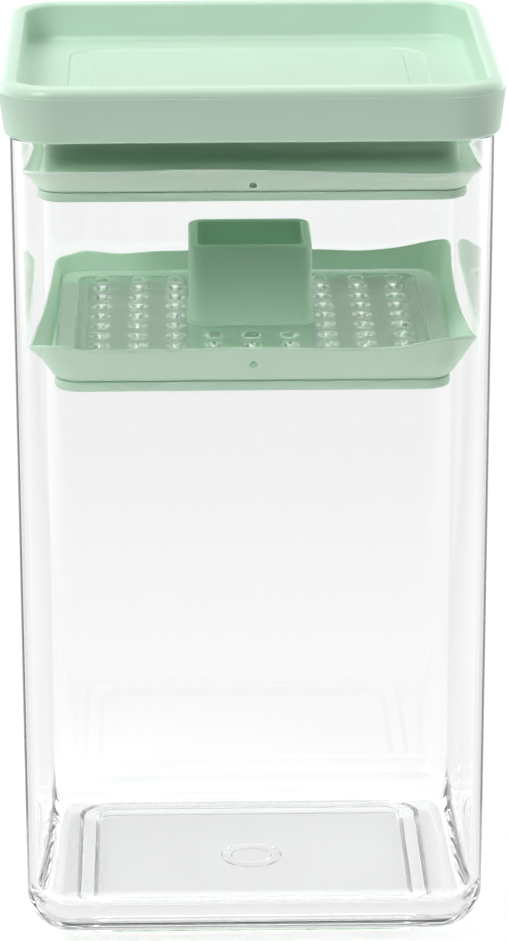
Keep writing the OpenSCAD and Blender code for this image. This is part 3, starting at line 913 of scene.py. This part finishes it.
def perforated(press, radius, lips, low, high, brim):
    """A plate with rows of round holes, and its rim.

    Each hole lies in a rectangular cell: the cell's outline narrows to a circle, which goes down through
    the plate with edges rounded by the lips, above and below, and widens to the cell again. Round the
    cells a band goes out over the plate's edge by the brim's profile. The cells in the middle are left
    out.
    """
    hold = 0.06 * MM
    margins = [radius + lip + 2 * hold for lip in lips]
    i, j = (g.ravel() for g in np.meshgrid(*(np.arange(count) for count in HOLES), indexing="ij"))
    kept = [np.abs(k - (count - 1) / 2) > block / 2 for k, count, block in zip((i, j), HOLES, BLOCK)]
    i, j = i[kept[0] | kept[1]], j[kept[0] | kept[1]]
    steps = cut_up(np.array([-1, 1]))
    unit = (rectangle(steps, steps) + 1) / 2
    turn = np.radians(-135) + np.arange(4 * CELL_STEPS) * math.pi / (2 * CELL_STEPS)
    spoke = np.stack([np.cos(turn), np.sin(turn)], -1)
    bend = np.linspace(0, math.pi / 2, 5)
    halves, fields = [], []
    for margin, lip, level, way in zip(margins, lips, (high, low), (-1, 1)):
        across, x_edges = cell_edges(HOLES[0], press.pitch, margin)
        deep, y_edges = cell_edges(HOLES[1], press.pitch, margin)
        lows = np.stack([x_edges[i], y_edges[j]], -1)[:, None]
        sizes = np.stack([np.diff(x_edges)[i], np.diff(y_edges)[j]], -1)[:, None]
        centres = np.stack([across[i], deep[j]], -1)[:, None, None]
        radii = np.concatenate([[radius + lip + hold], radius + lip * (1 - np.sin(bend))])
        drops = np.concatenate([[0, 0], lip * (1 - np.cos(bend))])
        circles = centres + radii[None, :, None, None] * spoke
        xy = np.concatenate([(lows + sizes * unit)[:, None], circles], 1)
        z = np.broadcast_to((level + way * drops)[None, :, None, None], (*xy.shape[:3], 1))
        halves.append(np.concatenate([xy, z], -1))
        fields.append((cut_up(x_edges), cut_up(y_edges)))
    cells = np.concatenate([halves[0], halves[1][:, ::-1]], 1)
    rows, columns = cells.shape[1:3]
    starts = np.arange(len(cells))[:, None, None] * rows * columns
    holes = cells.reshape(-1, 3), (loops(rows, columns)[None] + starts).reshape(-1, 4).tolist()
    upper, lower = (rectangle(*field)[None] for field in fields)
    xs, ys = fields[1]
    table = plan(xs / -xs[0], ys / -ys[0])
    band = np.concatenate([lift(lower, [low]), brim(table), lift(upper, [high])])
    first = [(count - block) // 2 for count, block in zip(HOLES, BLOCK)]
    middle = [edges[at:at + block + 1] for edges, at, block in zip((x_edges, y_edges), first, BLOCK)]
    return holes, open_rows(band), rectangle(*map(cut_up, middle))


class JAR_OT_press_plate(JarOperator, bpy.types.Operator):
    """Adds the clear perforated plate with its locating wall"""
    bl_idname = "jar.press_plate"
    bl_label = "Clear press plate"

    EDGE, FINE_EDGE, WALL_CREASE = 0.7 * MM, 0.2 * MM, 0.08 * MM
    INNER_FLAT, OUTER_FLAT = 0.1 * MM, 0.5 * MM  # flats kept beside the locating wall
    WALL_STEPS = 4
    HOLE_LIPS = (0.7 * MM, 0.2 * MM)
    FROST_GAP = 0.1 * MM
    SKIN = {"roughness": 0.16, "size": 0.7 * MM, "strength": 0.05, "depth": 0.05 * MM}

    def build(self, settings):
        press = settings.press
        half, high = half_size(PLATE), PLATE[1].z
        low, foot = high - press.plate_t + press.seat, PLATE[0].z + press.seat
        wall_half = half - press.wall_inset
        wall_in = press.wall_r - press.wall_t

        def brim(table):
            wall = carry(table, wall_half, press.wall_r, profile([
                (wall_in - self.INNER_FLAT, low, 0),
                (wall_in, low, self.WALL_CREASE),
                (wall_in, foot, self.FINE_EDGE),
                (press.wall_r, foot, self.FINE_EDGE),
                (press.wall_r, low, self.FINE_EDGE),
                (press.wall_r + self.OUTER_FLAT, low, 0)], self.WALL_STEPS))
            edge = carry(table, half, press.corner_r, profile([
                (press.corner_r - RIM_FLAT, low, 0),
                (press.corner_r, low, self.FINE_EDGE),
                (press.corner_r, high, self.EDGE),
                (press.corner_r - RIM_FLAT, high, 0)]))
            return np.concatenate([wall, edge])

        holes, band, block = perforated(press, press.hole_d / 2, self.HOLE_LIPS, low, high, brim)
        opening = half_size(GRIP) - press.grip_foot - press.grip_wall
        inner = block * (opening / np.abs(block).max(0))
        sides = np.stack([block, inner, inner, block])
        window = open_rows(lift(sides, [high, high, low, low]))
        frost = low - self.FROST_GAP
        clear = clear_plastic("clear_plate", settings.finish.plate, **self.SKIN, frost=frost)
        surface = welded(holes, band, window)
        add_piece("press_clear_plate", surface, "clear_plate", "press", "press_plate", clear)


class JAR_OT_press_base(JarOperator, bpy.types.Operator):
    """Adds the press's green base plate with its drain holes and spigot"""
    bl_idname = "jar.press_base"
    bl_label = "Press base plate"

    EDGE = 0.7 * MM
    HOLE_LIPS = (0.4 * MM, 0.3 * MM)
    SPIGOT_SINK = 0.5 * MM  # how far the spigot's foot goes into the plate

    def build(self, settings):
        press = settings.press
        half, low = half_size(BASE), BASE[0].z
        high = low + press.base_t

        def brim(table):
            return carry(table, half, press.corner_r, profile([
                (press.corner_r - RIM_FLAT, low, 0),
                (press.corner_r, low, self.EDGE),
                (press.corner_r, high, self.EDGE),
                (press.corner_r - RIM_FLAT, high, 0)]))

        radius = (press.hole_d + press.relief) / 2
        holes, band, block = perforated(press, radius, self.HOLE_LIPS, low, high, brim)
        middle = np.stack([block, block / 2])
        count = len(block)
        j = np.arange(count)
        top = lift(middle, [high, high])
        bottom = lift(middle[::-1], [low, low])
        flats = [open_rows(top), open_rows(bottom)]
        fan = np.stack([np.full(count, count), j, (j + 1) % count], -1)
        lids = [(np.concatenate([top[1], [[0, 0, high]]]), fan.tolist()),
                (np.concatenate([bottom[0], [[0, 0, low]]]), fan[:, ::-1].tolist())]
        spigot_half = half_size(GRIP) - press.grip_foot - press.grip_wall - press.fit
        r = press.grip_r - press.grip_wall - press.fit / 2
        spigot_in, spigot_low, spigot_top = r - press.spigot_wall, high - self.SPIGOT_SINK, BASE[1].z
        spigot = looped(carry(SMOOTH_PLAN, spigot_half, r, np.array([
            (spigot_in, spigot_low), (r, spigot_low), (r, spigot_top), (spigot_in, spigot_top)])))
        surface = welded(holes, band, *flats, *lids, spigot)
        add_piece("press_base_plate", surface, "green_plastic", "press", "press_base")


class JAR_OT_press_grip(JarOperator, bpy.types.Operator):
    """Adds the hollow square grip"""
    bl_idname = "jar.press_grip"
    bl_label = "Press grip"

    # Roundings
    UNDER_EDGE, FOOT_LOWER, FOOT_UPPER = 0.2 * MM, 0.1 * MM, 0.3 * MM
    TOP_OUTSIDE, TOP_INSIDE, WELL_FILLET = 0.8 * MM, 0.6 * MM, 0.8 * MM
    FOOT_FILLET = 0.65  # as a share of the foot's width

    def build(self, settings):
        press = settings.press
        half = half_size(GRIP) - press.grip_foot
        low, top = GRIP[0].z + press.seat, GRIP[1].z
        r, inner = press.grip_r, press.grip_r - press.grip_wall
        foot_r, foot_z = r + press.grip_foot, low + press.grip_foot_t
        well_z = low + press.well
        under_z = well_z - press.well_floor
        rows = carry(SMOOTH_PLAN, half, r, profile([
            (CORE, under_z, 0),
            (inner, under_z, self.UNDER_EDGE),
            (inner, low, 0),
            (foot_r, low, self.FOOT_LOWER),
            (foot_r, foot_z, self.FOOT_UPPER),
            (r, foot_z, press.grip_foot * self.FOOT_FILLET),
            (r, top, self.TOP_OUTSIDE),
            (inner, top, self.TOP_INSIDE),
            (inner, well_z, self.WELL_FILLET),
            (CORE, well_z, 0)]))
        add_piece("press_hand_grip", capped(rows), "green_plastic", "press", "press_grip")


OPERATORS = (
    JAR_OT_stage, JAR_OT_container, JAR_OT_lid, JAR_OT_lid_base, JAR_OT_lid_seal, JAR_OT_press_base,
    JAR_OT_press_seal, JAR_OT_press_plate, JAR_OT_press_grip)


class JAR_PT_panel(bpy.types.Panel):
    """Lists the jar's pieces in the sidebar"""
    bl_idname = "JAR_PT_panel"
    bl_label = "Pickle press jar"
    bl_space_type = "VIEW_3D"
    bl_region_type = "UI"
    bl_category = "Jar"

    def draw(self, context):
        for operator in OPERATORS:
            self.layout.operator(operator.bl_idname)


GROUPS = (JarSizes, LidSizes, PressSizes, Finishes, StudioSettings, JarScene)
CLASSES = (*GROUPS, *OPERATORS, JAR_PT_panel)


def register():
    for cls in CLASSES:
        bpy.utils.register_class(cls)
    bpy.types.Scene.jar_scene = bpy.props.PointerProperty(type=JarScene)


def unregister():
    del bpy.types.Scene.jar_scene
    for cls in reversed(CLASSES):
        bpy.utils.unregister_class(cls)


def main():
    register()
    for operator in OPERATORS:
        group, name = operator.bl_idname.split(".")
        getattr(getattr(bpy.ops, group), name)()


if __name__ == "__main__":
    main()
